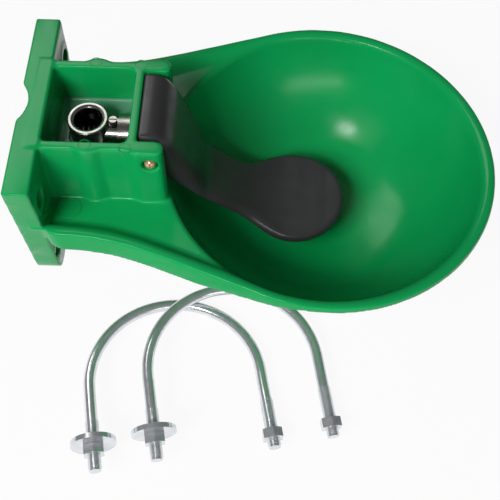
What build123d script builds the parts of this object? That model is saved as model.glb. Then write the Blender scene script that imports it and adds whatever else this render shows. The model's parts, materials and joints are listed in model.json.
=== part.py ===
"""Livestock drinking bowl with a press paddle, a brass valve and two U-bolts.

The bowl hangs on a wall or a post by its flange. Origin: the middle of the four-hole
pattern, on the flange's back face. +X points from the wall to the front of the bowl,
+Y to the right of the flange seen from the wall, +Z up. Millimetres.
"""

import os
from math import asin, atan2, cos, hypot, pi, radians, sin, sqrt

from build123d import *

# Mounting flange
flange_height = 110.0
flange_top_width = 144.0
flange_bottom_width = 128.0
flange_depth = 17.0
flange_edge_radius = 1.2
flange_wall = 4.0
flange_top_radius = 4.0
flange_bottom_radius = 8.0
hole_spacing_y = 116.0
hole_spacing_z = 62.0
hole_radius = 6.25
hole_boss_radius = 12.2
hole_boss_height = 0.8
hole_sleeve_wall = 4.0
pipe_radius = 24.15
pipe_groove_depth = 5.3
back_rib_thickness = 3.0
back_rib_spacing = 27.0

# Basin, rim and tray
bowl_radius = 118.0
bowl_centre_x = 201.0
rim_height = 4.7
rim_slope = 2.3
rim_edge_radius = 1.5
front_lip_height = 5.0
lip_rise_start = 125.0
lip_rise_end = 185.0
rim_land = 8.3
basin_depth = 80.0
basin_flat_radius = 34.0
basin_shoulder_radius = 28.0
basin_wall = 3.0
foot_ring_radius = 32.0
foot_ring_width = 4.0
foot_ring_height = 1.0
tray_half_width = 75.5
tray_land = 5.5
tray_foot_inset = 14.0
tray_depth = 11.0
tray_thickness = 3.5
tray_step = 0.7
skirt_thickness = 3.0
waist_x = 60.0
waist_radius = 60.0
gusset_depth = 34.0
gusset_thickness = 4.0

# Valve box
box_half_width = 36.0
box_edge_radius = 1.2
box_wall = 5.9
box_back_wall = 1.0
compartment_length = 54.4
compartment_chamfer = 3.5
cross_wall = 6.0
shelf_height = 23.0
shelf_thickness = 4.0
shelf_slot_half_width = 14.5
rib_x = 47.0
rib_radius = 13.2
rib_height = 2.7
cheek_half_width = 38.5
cheek_length = 17.0
cheek_corner_radius = 4.8
cheek_step_length = 6.5
slot_half_width = 28.2
arch_radius = 23.5
arch_height = 0.8

# Pivot of the paddle
pivot_beyond_wall = 8.1
pivot_drop = 13.0
pivot_radius = 2.0
pivot_clearance = 0.05
pivot_hole_clearance = 0.1
pivot_head_radius = 3.85
pivot_head_height = 2.8
pivot_recess_radius = 5.3
pivot_recess_depth = 4.3
pivot_cross_width = 1.1
pivot_cross_length = 5.0
pivot_head_chamfer = 1.0
pivot_nut_flats = 7.0
pivot_nut_height = 3.2
nut_pocket_clearance = 0.3
thread_clearance = 0.02

# Paddle
paddle_half_width = 26.6
paddle_wall_gap = 0.5
paddle_side_gap = 0.3
paddle_shell = 3.0
paddle_head_length = 21.2
paddle_bend_x = 49.2
paddle_bend_z = -18.0
paddle_toe_x = 79.2
paddle_toe_z = -42.0
paddle_disc_x = 102.2
paddle_disc_z = -44.5
paddle_disc_radius = 37.0
paddle_disc_thickness = 8.5
paddle_neck_half_width = 24.3
paddle_neck_x = 62.0
paddle_shoulder_x = 33.2
paddle_neck_radius = 16.0
paddle_bend_radius = 30.0
paddle_head_radius = 10.0
paddle_boss_radius = 4.6
paddle_boss_length = 7.0
paddle_web = 4.0
paddle_pad_height = 12.0
web_low = (30.5, -20.0)
web_high = (18.0, 12.0)
skirt_toe = (81.0, -52.0)
skirt_knee = (65.0, -45.5)
skirt_bend = (40.0, -22.0)
skirt_hip = (18.5, 6.0)
skirt_heel = (5.5, 20.0)
skirt_back_drop = 11.0

# Valve
valve_height = 24.0
socket_beyond_back = 23.7
socket_radius = 13.5
socket_top = 39.5
socket_bottom = 8.0
inlet_radius = 9.3
inlet_depth = 10.0
inlet_passage_radius = 7.0
inlet_passage_depth = 17.0
inlet_chamfer = 1.2
barrel_radius = 10.5
socket_foot_chamfer = 2.0
socket_rim_chamfer = 0.8
collar_radius = 13.5
collar_length = 9.0
gasket_thickness = 2.0
gasket_radius = 13.0
gasket_clearance = 0.1
nose_radius = 9.5
nose_length = 13.5
nose_clearance = 0.3
pad_gap = 3.6
lock_nut_flats = 26.0
lock_nut_height = 5.0
chamber_radius = 7.5
chamber_end_wall = 3.3
seat_length = 18.8
seat_bore_radius = 4.2
seat_end_wall = 3.5
seat_clearance = 0.05
seat_outlet_radius = 0.88
seat_outlet_circle = 3.25
seat_outlets = 4
seat_lip_height = 0.8
seat_lip_width = 0.8
ring_groove_depth = 1.0
ring_wire_radius = 0.8
ring_gap = 0.08
ring_clearance = 0.01
stem_radius = 2.0
stem_clearance = 0.05
stem_tip_gap = 0.3
stem_tip_chamfer = 1.0
stem_head_radius = 3.2
stem_head_thickness = 1.5
seal_radius = 6.0
seal_thickness = 3.0
seal_gap = 0.3
retainer_radius = 5.5
retainer_thickness = 2.5
spring_radius = 4.4
spring_wire_radius = 0.6
spring_turns = 7
spring_steps = 12
spring_wire_sides = 6
spring_seat_gap = 0.3
flow_screw_x = 58.3
flow_screw_radius = 1.9
flow_screw_clearance = 0.05
flow_screw_head_radius = 2.7
flow_screw_head_height = 2.0
flow_screw_slot = 0.9
flow_boss_radius = 3.6
flow_boss_top = 36.0
flow_screw_tip = 31.0
flow_ring_thickness = 0.85
flow_ring_gap = 0.05

# U-bolts: M8 rod, with nuts and two large washers on the left leg
u_bolt_spacing = 118.0
u_bolt_rod_radius = 4.0
u_bolt_leg = 58.0
u_bolt_nut_flats = 13.0
u_bolt_nut_height = 6.5
u_bolt_nut_bore_clearance = 0.05
u_bolt_washer_radius = 15.0
u_bolt_washer_thickness = 1.6
u_bolt_washer_bore = 4.4
u_bolt_washer_gap = 0.1
u_bolt_left_nut_from_end = 11.0
u_bolt_right_nut_from_end = 6.0
u_bolt_turn = 11.0
left_u_bolt_place = (114.0, -194.0)
right_u_bolt_place = (153.0, -185.0)
u_bolt_overlap_lift = 9.5
u_bolt_ground_gap = 0.3

# Places worked out from the sizes
box_top = flange_height / 2
box_bottom = -2.2
pivot_height = box_top - pivot_drop
skirt_back_height = box_top - skirt_back_drop
box_back = flange_depth + box_back_wall
cross_wall_back = box_back + compartment_length
cross_wall_front = cross_wall_back + cross_wall
cheek_front = cross_wall_front + cheek_length
pivot_x = cross_wall_front + pivot_beyond_wall
socket_x = box_back + socket_beyond_back
basin_radius = bowl_radius - rim_land
basin_floor_z = rim_height - basin_depth
ground_z = basin_floor_z - basin_wall - foot_ring_height
lip_height = tray_depth + tray_thickness
slope = radians(rim_slope)
rim_plane = Plane(
    origin=(bowl_centre_x, 0, rim_height),
    x_dir=(cos(slope), 0, -sin(slope)),
    z_dir=(sin(slope), 0, cos(slope)),
)
paddle_back = cross_wall_front + paddle_wall_gap
collar_end = cross_wall_back - gasket_thickness
nose_end = collar_end + nose_length
seat_face = nose_end - seat_length
chamber_start = socket_x - socket_radius + chamber_end_wall
seal_face = seat_face - seal_gap
retainer_start = seal_face - seal_thickness - retainer_thickness
pad_x = nose_end + pad_gap
screw_seat_y = cheek_half_width - pivot_recess_depth
flow_screw_seat = flow_boss_top + flow_ring_thickness + flow_ring_gap
upright = (Align.CENTER, Align.CENTER, Align.MIN)
hanging = (Align.CENTER, Align.CENTER, Align.MAX)

os.makedirs("parts", exist_ok=True)


def save(part, name):
    """Labels a finished piece and writes it to its own file."""
    part.label = name
    export_step(part, f"parts/{name}.step")


def pear_outline(plane, radius, half_width):
    """Outline of the bowl from above: a circle that runs back into two straight sides.

    The slanted lines leave the waist corner and meet the circle tangentially.
    """
    rear = flange_depth / 2 - bowl_centre_x
    waist = waist_x - bowl_centre_x
    reach = hypot(waist, half_width)
    rise = asin(radius / reach) - atan2(half_width, -waist)
    touch_x = -radius * sin(rise)
    touch_y = radius * cos(rise)
    with BuildSketch(plane) as outline:
        with BuildLine():
            Polyline((rear, half_width), (waist, half_width), (touch_x, touch_y))
            ThreePointArc((touch_x, touch_y), (radius, 0), (touch_x, -touch_y))
            Polyline((touch_x, -touch_y), (waist, -half_width), (rear, -half_width))
            Line((rear, -half_width), (rear, half_width))
        make_face()
        fillet(outline.vertices().group_by(Axis.X)[1], waist_radius)
    return outline.sketch


def around(centre, radius, angle):
    """Point on a circle, its angle in radians from straight down."""
    return centre[0] + radius * sin(angle), centre[1] - radius * cos(angle)


def basin_side():
    """Height of the side arc's centre above the shoulder arc's, and the side arc's radius.

    The side arc is centred on the axis. It runs through the rim and touches the shoulder.
    """
    rise = basin_depth - basin_shoulder_radius
    spread = rise**2 - basin_shoulder_radius**2
    total = basin_radius**2 + spread - basin_flat_radius**2
    reach = (2 * basin_shoulder_radius * basin_flat_radius) ** 2
    height = (total * rise - sqrt((total * rise) ** 2 - spread * (total**2 - reach))) / (2 * spread)
    return height, hypot(basin_flat_radius, height) + basin_shoulder_radius


def revolve_basin(extra):
    """Round solid inside the basin's surface that lies extra outside its inner face.

    The section is a flat floor, a shoulder arc and a side arc.
    """
    height, radius = basin_side()
    shoulder_centre = (basin_flat_radius, basin_floor_z + basin_shoulder_radius)
    side_centre = (0, shoulder_centre[1] + height)
    shoulder_radius = basin_shoulder_radius + extra
    side_radius = radius + extra
    top_z = rim_height + 2 * rim_land
    turn = atan2(basin_flat_radius, height)
    top_turn = radians(90) + asin((top_z - side_centre[1]) / side_radius)
    low = around(shoulder_centre, shoulder_radius, 0)
    joint = around(side_centre, side_radius, turn)
    top = around(side_centre, side_radius, top_turn)
    with BuildPart() as solid:
        with BuildSketch(Plane(origin=(bowl_centre_x, 0, 0), x_dir=(1, 0, 0), z_dir=(0, -1, 0))):
            with BuildLine():
                Line((0, low[1]), low)
                ThreePointArc(low, around(shoulder_centre, shoulder_radius, turn / 2), joint)
                ThreePointArc(joint, around(side_centre, side_radius, (turn + top_turn) / 2), top)
                Polyline(top, (0, top[1]), (0, low[1]))
            make_face()
        revolve(axis=Axis((bowl_centre_x, 0, 0), (0, 0, 1)))
    return solid.part


def make_basin_outer():
    """Outer form of the basin up to the sloping rim plane, with its foot ring."""
    form = revolve_basin(basin_wall)
    with BuildPart() as outer:
        add(form)
        with BuildSketch(Plane.XY.offset(ground_z)):
            with Locations((bowl_centre_x, 0)):
                Circle(foot_ring_radius)
                Circle(foot_ring_radius - foot_ring_width, mode=Mode.SUBTRACT)
        extrude(amount=foot_ring_height + basin_wall)
        split(bisect_by=rim_plane, keep=Keep.BOTTOM)
    return outer.part


def tray_size(level):
    """Radius and half width of the tray's sloping inside, level mm below the rim."""
    share = 1 - level / tray_depth
    half_width = tray_half_width - tray_foot_inset + share * (tray_foot_inset - tray_land)
    radius = basin_radius - tray_land + share * (tray_land - tray_step)
    return radius, half_width


def make_tray_space():
    """The open space above the tray, as a tapered pear."""
    above = 1.0
    low = pear_outline(rim_plane.offset(-tray_depth), *tray_size(tray_depth))
    high = pear_outline(rim_plane.offset(above), *tray_size(-above))
    with BuildPart() as space:
        add(low)
        add(high)
        loft(ruled=True)
    return space.part


def make_rim():
    """The rim as a block, deep round the tray and shallow round the front of the basin."""
    outline = pear_outline(rim_plane, bowl_radius, tray_half_width)
    side = Plane(origin=rim_plane.origin, x_dir=rim_plane.x_dir, z_dir=(0, -1, 0))
    with BuildPart() as rim:
        extrude(outline, amount=-lip_height)
        with BuildSketch(side):
            with BuildLine():
                Polyline(
                    (lip_rise_start - bowl_centre_x, -lip_height),
                    (lip_rise_end - bowl_centre_x, -front_lip_height),
                    (2 * bowl_radius, -front_lip_height),
                    (2 * bowl_radius, -lip_height),
                    close=True,
                )
            make_face()
        extrude(amount=2 * bowl_radius, both=True, mode=Mode.SUBTRACT)
        fillet(rim.faces().sort_by(Axis.Z)[-1].edges(), rim_edge_radius)
    return rim.part


def make_rim_hollow():
    """The groove under the rim, between the outer skirt and the tray's sloping wall."""
    low = lip_height + 1
    high = tray_thickness + 1
    wall = tray_thickness * hypot(tray_depth, tray_foot_inset - tray_land) / tray_depth
    low_radius, low_width = tray_size(low)
    high_radius, high_width = tray_size(high)
    low_outline = pear_outline(rim_plane.offset(-low), low_radius, low_width + wall)
    high_outline = pear_outline(rim_plane.offset(-high), high_radius, high_width + wall)
    outer_radius = bowl_radius - skirt_thickness
    outer_width = tray_half_width - skirt_thickness
    outer_outline = pear_outline(rim_plane.offset(-low), outer_radius, outer_width)
    with BuildPart() as core:
        add(low_outline)
        add(high_outline)
        loft(ruled=True)
    with BuildPart() as hollow:
        extrude(outer_outline, amount=low - high)
        add(core.part, mode=Mode.SUBTRACT)
    return hollow.part


def flange_outline(plane, inset):
    """The flange's outline in its own plane, drawn inset mm inside its edge."""
    top = flange_top_width / 2
    bottom = flange_bottom_width / 2
    height = flange_height / 2
    with BuildSketch(plane) as outline:
        with BuildLine():
            Polyline((-top, height), (top, height), (bottom, -height), (-bottom, -height), close=True)
        make_face()
        fillet(outline.vertices().group_by(Axis.Y)[-1], flange_top_radius)
        fillet(outline.vertices().group_by(Axis.Y)[0], flange_bottom_radius)
        if inset:
            offset(amount=-inset, mode=Mode.REPLACE)
    return outline.sketch


def make_back_pockets():
    """The pockets in the flange's hollow back, between its ribs and hole sleeves."""
    back = Plane(origin=(0, 0, 0), x_dir=(0, 1, 0), z_dir=(1, 0, 0))
    outline = flange_outline(Plane.XY, flange_wall)
    with BuildPart() as pockets:
        with BuildSketch(back):
            add(outline)
            with GridLocations(back_rib_spacing, 0, 5, 1):
                Rectangle(back_rib_thickness, flange_height, mode=Mode.SUBTRACT)
            with GridLocations(0, hole_spacing_z / 2, 1, 3):
                Rectangle(flange_top_width, back_rib_thickness, mode=Mode.SUBTRACT)
            with GridLocations(hole_spacing_y, hole_spacing_z, 2, 2):
                Circle(hole_radius + hole_sleeve_wall, mode=Mode.SUBTRACT)
        extrude(amount=flange_depth - flange_wall)
    return pockets.part


def make_flange():
    """The flange's plate, with its front edge rounded."""
    back = Plane(origin=(0, 0, 0), x_dir=(0, 1, 0), z_dir=(1, 0, 0))
    outline = flange_outline(back, 0)
    with BuildPart() as flange:
        extrude(outline, amount=flange_depth)
        fillet(flange.faces().sort_by(Axis.X)[-1].edges(), flange_edge_radius)
    return flange.part


def make_box_walls():
    """The valve box as a block, with its outer ribs and the cheeks beside the paddle."""
    with BuildPart() as box:
        with BuildSketch(Plane.XY.offset(box_bottom)) as walls:
            with Locations((flange_depth / 2, 0)):
                Rectangle(
                    cross_wall_front - flange_depth / 2,
                    2 * box_half_width,
                    align=(Align.MIN, Align.CENTER),
                )
            rib_y = box_half_width + rib_height - rib_radius
            with Locations((rib_x, rib_y), (rib_x, -rib_y)):
                Circle(rib_radius)
            with BuildLine():
                Polyline(
                    (cross_wall_back, slot_half_width),
                    (cross_wall_front - cheek_step_length, box_half_width),
                    (cross_wall_front, cheek_half_width),
                    (cheek_front, cheek_half_width),
                    (cheek_front, slot_half_width),
                    close=True,
                )
            make_face()
            mirror(about=Plane.XZ)
            fillet(walls.vertices().group_by(Axis.X)[-1], cheek_corner_radius)
        extrude(amount=box_top - box_bottom)
        top_edges = box.faces().sort_by(Axis.Z)[-1].edges()
        fillet(top_edges.sort_by(Axis.X)[1:], box_edge_radius)
    return box.part


def make_bowl_body():
    """The green moulding: flange, valve box, tray, rim and basin in one piece."""
    back = Plane(origin=(0, 0, 0), x_dir=(0, 1, 0), z_dir=(1, 0, 0))
    inner_half_width = box_half_width - box_wall
    rim = make_rim()
    rim_hollow = make_rim_hollow()
    basin_outer = make_basin_outer()
    basin_inner = revolve_basin(0)
    tray_space = make_tray_space()
    flange = make_flange()
    box_walls = make_box_walls()
    back_pockets = make_back_pockets()
    with BuildPart() as bowl:
        # Rim and tray
        add(rim)
        add(rim_hollow, mode=Mode.SUBTRACT)
        add(basin_outer)
        add(tray_space, mode=Mode.SUBTRACT)

        # Gussets under the tray, in line with the box walls
        gusset_end = bowl_centre_x - basin_radius + gusset_depth / 2
        for side in (-1, 1):
            gusset_y = side * (box_half_width - gusset_thickness / 2)
            with BuildSketch(Plane.XZ.offset(-gusset_y)):
                with BuildLine():
                    Polyline(
                        (flange_depth / 2, box_bottom),
                        (flange_depth / 2, box_bottom - gusset_depth),
                        (gusset_end, box_bottom - gusset_depth),
                        (gusset_end, box_bottom),
                        close=True,
                    )
                make_face()
            extrude(amount=gusset_thickness / 2, both=True)
        add(basin_inner, mode=Mode.SUBTRACT)

        # Flange with a boss round each hole
        add(flange)
        with BuildSketch(back.offset(flange_depth)):
            with GridLocations(hole_spacing_y, hole_spacing_z, 2, 2):
                Circle(hole_boss_radius)
        extrude(amount=hole_boss_height)

        # Valve box
        add(box_walls)

        # Compartment above the shelf, and the core that is open from below
        with BuildSketch(Plane.XY.offset(shelf_height)) as compartment:
            with Locations((box_back, 0)):
                Rectangle(
                    compartment_length, 2 * inner_half_width, align=(Align.MIN, Align.CENTER)
                )
            chamfer(compartment.vertices().group_by(Axis.X)[-1], compartment_chamfer)
        extrude(amount=box_top - shelf_height, mode=Mode.SUBTRACT)
        with BuildSketch(Plane.XY.offset(shelf_height - shelf_thickness)):
            with Locations((box_back, 0)):
                Rectangle(
                    compartment_length, 2 * inner_half_width, align=(Align.MIN, Align.CENTER)
                )
        extrude(amount=-(shelf_height + gusset_depth), mode=Mode.SUBTRACT)
        slot_start = socket_x - shelf_slot_half_width
        with BuildSketch(Plane.XY.offset(shelf_height)):
            with Locations((socket_x, 0)):
                Circle(shelf_slot_half_width)
                Rectangle(
                    cross_wall_back - socket_x,
                    2 * shelf_slot_half_width,
                    align=(Align.MIN, Align.CENTER),
                )
        extrude(amount=-shelf_thickness, mode=Mode.SUBTRACT)

        # Half-round pad on the back wall, above the shelf
        with BuildSketch(back.offset(box_back)):
            with Locations((0, shelf_height)):
                Circle(arch_radius)
                Rectangle(
                    2 * arch_radius,
                    arch_radius,
                    align=(Align.CENTER, Align.MAX),
                    mode=Mode.SUBTRACT,
                )
        extrude(amount=arch_height)

        # Holes for the bolts, the valve and the pivot screw
        with BuildSketch(back):
            with GridLocations(hole_spacing_y, hole_spacing_z, 2, 2):
                Circle(hole_radius)
        extrude(amount=flange_depth + hole_boss_height, mode=Mode.SUBTRACT)
        with Locations((cross_wall_back, 0, valve_height)):
            Cylinder(
                nose_radius + nose_clearance,
                cross_wall,
                rotation=(0, 90, 0),
                align=upright,
                mode=Mode.SUBTRACT,
            )
        with Locations((pivot_x, 0, pivot_height)):
            Cylinder(
                pivot_radius + pivot_hole_clearance,
                2 * cheek_half_width,
                rotation=(90, 0, 0),
                mode=Mode.SUBTRACT,
            )
        with Locations((pivot_x, -cheek_half_width, pivot_height)):
            Cylinder(
                pivot_recess_radius, 2 * pivot_recess_depth, rotation=(90, 0, 0), mode=Mode.SUBTRACT
            )
        with BuildSketch(Plane.XZ.offset(-cheek_half_width)):
            with Locations((pivot_x, pivot_height)):
                RegularPolygon(
                    pivot_nut_flats / 2 + nut_pocket_clearance, 6, major_radius=False
                )
        extrude(amount=pivot_recess_depth, mode=Mode.SUBTRACT)

        # Hollow back of the flange and the groove for a pipe
        add(back_pockets, mode=Mode.SUBTRACT)
        with Locations((pipe_groove_depth - pipe_radius, 0, 0)):
            Cylinder(pipe_radius, flange_height + 2, mode=Mode.SUBTRACT)
    return bowl.part


def paddle_plan(inset):
    """The paddle from above: head, tapering arm and round disc, drawn inset mm inside."""
    head = paddle_half_width - inset
    neck = paddle_neck_half_width - inset
    disc = Location((paddle_back + paddle_disc_x, 0))
    with BuildSketch() as plan:
        with BuildLine():
            Polyline(
                (paddle_back, head),
                (paddle_back + paddle_shoulder_x, head),
                (paddle_back + paddle_neck_x, neck),
                (paddle_back + paddle_disc_x, neck),
                (paddle_back + paddle_disc_x, -neck),
                (paddle_back + paddle_neck_x, -neck),
                (paddle_back + paddle_shoulder_x, -head),
                (paddle_back, -head),
                close=True,
            )
        make_face()
        with Locations(disc):
            Circle(paddle_disc_radius - inset)
        chord = sqrt((paddle_disc_radius - inset) ** 2 - neck**2)
        corner_x = paddle_back + paddle_disc_x - chord
        corners = [v for v in plan.vertices() if abs(v.X - corner_x) < 0.01]
        fillet(corners, paddle_neck_radius + inset)
    return plan.sketch


def paddle_side(top_inset, open_below):
    """The paddle's side view, its top moved in by top_inset, open below if asked."""
    low = flange_height if open_below else 0
    back = paddle_back - (paddle_shell if open_below else 0)
    head_x = paddle_back + paddle_head_length - top_inset
    bend = (paddle_back + paddle_bend_x - top_inset, paddle_bend_z - top_inset / 2)
    toe = (paddle_back + paddle_toe_x, paddle_toe_z - top_inset)
    front = (paddle_back + paddle_disc_x + 2 * paddle_disc_radius, paddle_disc_z - top_inset)
    under = [(front[0], paddle_disc_z - paddle_disc_thickness - low)]
    under += [
        (paddle_back + x, z - low) for x, z in (skirt_toe, skirt_knee, skirt_bend, skirt_hip)
    ]
    under += [(back + skirt_heel[0], skirt_heel[1] - low), (back, skirt_back_height)]
    with BuildSketch(Plane.XZ.offset(-2 * paddle_half_width)) as side:
        with BuildLine():
            Polyline(
                (back, box_top - top_inset), (head_x, box_top - top_inset), bend, toe, front, *under,
                close=True,
            )
        make_face()
        fillet(nearest(side, head_x, box_top - top_inset), paddle_head_radius)
        fillet(nearest(side, *bend), paddle_bend_radius)
        fillet(nearest(side, *toe), paddle_bend_radius)
    return side.sketch


def nearest(sketch, x, y):
    """The corner of an open sketch that lies nearest to a point in its plane."""
    return min(sketch.vertices(), key=lambda corner: hypot(corner.X - x, corner.Y - y))


def make_paddle():
    """The black paddle: a shell with skirts, open at the back and below."""
    inner_side = paddle_side(paddle_shell, True)
    inner_plan = paddle_plan(paddle_shell)
    outer_side = paddle_side(0, False)
    outer_plan = paddle_plan(0)
    with BuildPart() as hollow:
        extrude(inner_side, amount=4 * paddle_half_width)
        with BuildSketch(Plane.XY.offset(-2 * flange_height)):
            add(inner_plan)
        extrude(amount=4 * flange_height, mode=Mode.INTERSECT)
    with BuildPart() as paddle:
        extrude(outer_side, amount=4 * paddle_half_width)
        with BuildSketch(Plane.XY.offset(-2 * flange_height)):
            add(outer_plan)
        extrude(amount=4 * flange_height, mode=Mode.INTERSECT)
        add(hollow.part, mode=Mode.SUBTRACT)
        # Pivot bosses at both sides
        boss_end = slot_half_width - paddle_side_gap
        for side in (-1, 1):
            with Locations((pivot_x, side * (boss_end - paddle_boss_length / 2), pivot_height)):
                Cylinder(paddle_boss_radius, paddle_boss_length, rotation=(90, 0, 0))
        # Middle web with the pad that pushes the valve stem
        with BuildSketch(Plane.XZ) as web:
            with BuildLine():
                Polyline(
                    (pad_x, valve_height + paddle_pad_height / 2),
                    (pad_x, valve_height - paddle_pad_height / 2),
                    (pad_x + web_low[0], valve_height + web_low[1]),
                    (pad_x + web_high[0], valve_height + web_high[1]),
                    close=True,
                )
            make_face()
        extrude(amount=paddle_web / 2, both=True)
        with Locations((pivot_x, 0, pivot_height)):
            Cylinder(
                pivot_radius + pivot_clearance,
                2 * cheek_half_width,
                rotation=(90, 0, 0),
                mode=Mode.SUBTRACT,
            )
    return paddle.part


def make_pivot_screw():
    """The screw that the paddle swings on, with its head in the near cheek."""
    with BuildPart() as screw:
        with Locations((pivot_x, -screw_seat_y, pivot_height)):
            Cylinder(
                pivot_radius,
                screw_seat_y + cheek_half_width,
                rotation=(-90, 0, 0),
                align=upright,
            )
            Cylinder(pivot_head_radius, pivot_head_height, rotation=(90, 0, 0), align=upright)
        chamfer(screw.edges().group_by(Axis.Y)[0], pivot_head_chamfer)
        with Locations((pivot_x, -screw_seat_y - pivot_head_height, pivot_height)):
            Box(pivot_cross_length, pivot_head_height, pivot_cross_width, mode=Mode.SUBTRACT)
            Box(pivot_cross_width, pivot_head_height, pivot_cross_length, mode=Mode.SUBTRACT)
    return screw.part


def hex_nut(plane, flats, height, bore):
    """A hexagon nut that stands on a plane."""
    with BuildPart() as nut:
        with BuildSketch(plane):
            RegularPolygon(flats / 2, 6, major_radius=False)
            Circle(bore, mode=Mode.SUBTRACT)
        extrude(amount=height)
    return nut.part


def make_pivot_nut():
    """The nut in the far cheek's pocket."""
    pocket = Plane(origin=(pivot_x, screw_seat_y, pivot_height), x_dir=(1, 0, 0), z_dir=(0, 1, 0))
    return hex_nut(pocket, pivot_nut_flats, pivot_nut_height, pivot_radius + thread_clearance)


def make_valve_body():
    """Brass casting: upright inlet socket, barrel, collar and threaded nose."""
    with BuildPart() as valve:
        with Locations((socket_x, 0, socket_bottom)):
            Cylinder(socket_radius, socket_top - socket_bottom, align=upright)
        with Locations((socket_x, 0, valve_height)):
            Cylinder(barrel_radius, collar_end - socket_x, rotation=(0, 90, 0), align=upright)
        with Locations((collar_end - collar_length, 0, valve_height)):
            Cylinder(collar_radius, collar_length, rotation=(0, 90, 0), align=upright)
        with Locations((collar_end, 0, valve_height)):
            Cylinder(nose_radius, nose_length, rotation=(0, 90, 0), align=upright)
        with Locations((flow_screw_x, 0, valve_height)):
            Cylinder(flow_boss_radius, flow_boss_top - valve_height, align=upright)
        chamfer(valve.edges().group_by(Axis.Z)[0], socket_foot_chamfer)
        # Inlet, chamber and the bore of the flow screw
        with Locations((socket_x, 0, socket_top)):
            Cylinder(inlet_radius, inlet_depth, align=hanging, mode=Mode.SUBTRACT)
            Cylinder(inlet_passage_radius, inlet_passage_depth, align=hanging, mode=Mode.SUBTRACT)
        with Locations((chamber_start, 0, valve_height)):
            Cylinder(
                chamber_radius,
                nose_end - chamber_start,
                rotation=(0, 90, 0),
                align=upright,
                mode=Mode.SUBTRACT,
            )
        with Locations((flow_screw_x, 0, valve_height)):
            Cylinder(
                flow_screw_radius + flow_screw_clearance,
                flow_boss_top - valve_height,
                align=upright,
                mode=Mode.SUBTRACT,
            )
        top_edges = valve.edges().group_by(Axis.Z)[-1]
        chamfer(top_edges.sort_by(SortBy.RADIUS)[0], inlet_chamfer)
        chamfer(valve.edges().group_by(Axis.Z)[-1], socket_rim_chamfer)
    return valve.part


def ring(x, length, outer, inner):
    """A plain ring along X on the valve's axis."""
    with BuildPart() as washer:
        with Locations((x, 0, valve_height)):
            Cylinder(outer, length, rotation=(0, 90, 0), align=upright)
            Cylinder(inner, length, rotation=(0, 90, 0), align=upright, mode=Mode.SUBTRACT)
    return washer.part


def make_lock_nut():
    """The big flat nut on the valve's nose, in the paddle's slot."""
    plane = Plane(origin=(cross_wall_front, 0, valve_height), x_dir=(0, 1, 0), z_dir=(1, 0, 0))
    return hex_nut(plane, lock_nut_flats, lock_nut_height, nose_radius + thread_clearance)


def make_seat():
    """Insert in the nose: a raised lip at its inner end, outlets and the stem's guide."""
    plug_radius = chamber_radius - seat_clearance
    with BuildPart() as seat:
        with Locations((seat_face + seat_lip_height, 0, valve_height)):
            Cylinder(
                plug_radius, seat_length - seat_lip_height, rotation=(0, 90, 0), align=upright
            )
        with Locations((seat_face, 0, valve_height)):
            Cylinder(
                seat_bore_radius + seat_lip_width,
                seat_lip_height,
                rotation=(0, 90, 0),
                align=upright,
            )
            Cylinder(
                seat_bore_radius,
                seat_length - seat_end_wall,
                rotation=(0, 90, 0),
                align=upright,
                mode=Mode.SUBTRACT,
            )
            Cylinder(
                stem_radius + stem_clearance,
                seat_length,
                rotation=(0, 90, 0),
                align=upright,
                mode=Mode.SUBTRACT,
            )
        groove_x = seat_face + seat_length / 2
        with Locations((groove_x, 0, valve_height)):
            Cylinder(
                plug_radius, 2 * ring_wire_radius, rotation=(0, 90, 0), mode=Mode.SUBTRACT
            )
            Cylinder(
                plug_radius - ring_groove_depth,
                2 * ring_wire_radius,
                rotation=(0, 90, 0),
            )
            Cylinder(
                seat_bore_radius, 2 * ring_wire_radius, rotation=(0, 90, 0), mode=Mode.SUBTRACT
            )
        with BuildSketch(
            Plane(origin=(nose_end, 0, valve_height), x_dir=(0, 1, 0), z_dir=(1, 0, 0))
        ):
            with PolarLocations(seat_outlet_circle, seat_outlets):
                Circle(seat_outlet_radius)
        extrude(amount=-seat_end_wall, mode=Mode.SUBTRACT)
    return seat.part


def make_seat_ring():
    """Sealing ring in the seat's groove."""
    inner = chamber_radius - seat_clearance - ring_groove_depth
    return ring(
        seat_face + seat_length / 2 - ring_wire_radius + ring_gap,
        2 * (ring_wire_radius - ring_gap),
        chamber_radius - ring_clearance,
        inner + ring_clearance,
    )


def make_stem():
    """Steel stem with a chamfered tip that the paddle's pad pushes."""
    tip = pad_x - stem_tip_gap
    start = retainer_start - stem_head_thickness
    with BuildPart() as stem:
        with Locations((start, 0, valve_height)):
            Cylinder(stem_radius, tip - start, rotation=(0, 90, 0), align=upright)
            Cylinder(stem_head_radius, stem_head_thickness, rotation=(0, 90, 0), align=upright)
        chamfer(stem.edges().group_by(Axis.X)[-1], stem_tip_chamfer)
    return stem.part


def make_spring():
    """Coil spring that holds the seal on the seat, as short straight lengths of wire."""
    start = chamber_start + spring_seat_gap + spring_wire_radius
    end = retainer_start - spring_seat_gap - spring_wire_radius
    pitch = (end - start) / spring_turns
    sections = []
    for step in range(spring_turns * spring_steps + 1):
        angle = radians(360 * step / spring_steps)
        outwards = Vector(0, cos(angle), sin(angle))
        along = Vector(pitch / (2 * pi), -spring_radius * sin(angle), spring_radius * cos(angle))
        centre = Vector(start + pitch * step / spring_steps, 0, valve_height)
        place = Plane(origin=centre + outwards * spring_radius, x_dir=outwards, z_dir=along)
        with BuildSketch(place) as section:
            RegularPolygon(spring_wire_radius, spring_wire_sides)
        sections.append(section.sketch.face())
    with BuildPart() as spring:
        loft(sections, ruled=True)
    return spring.part


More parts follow.
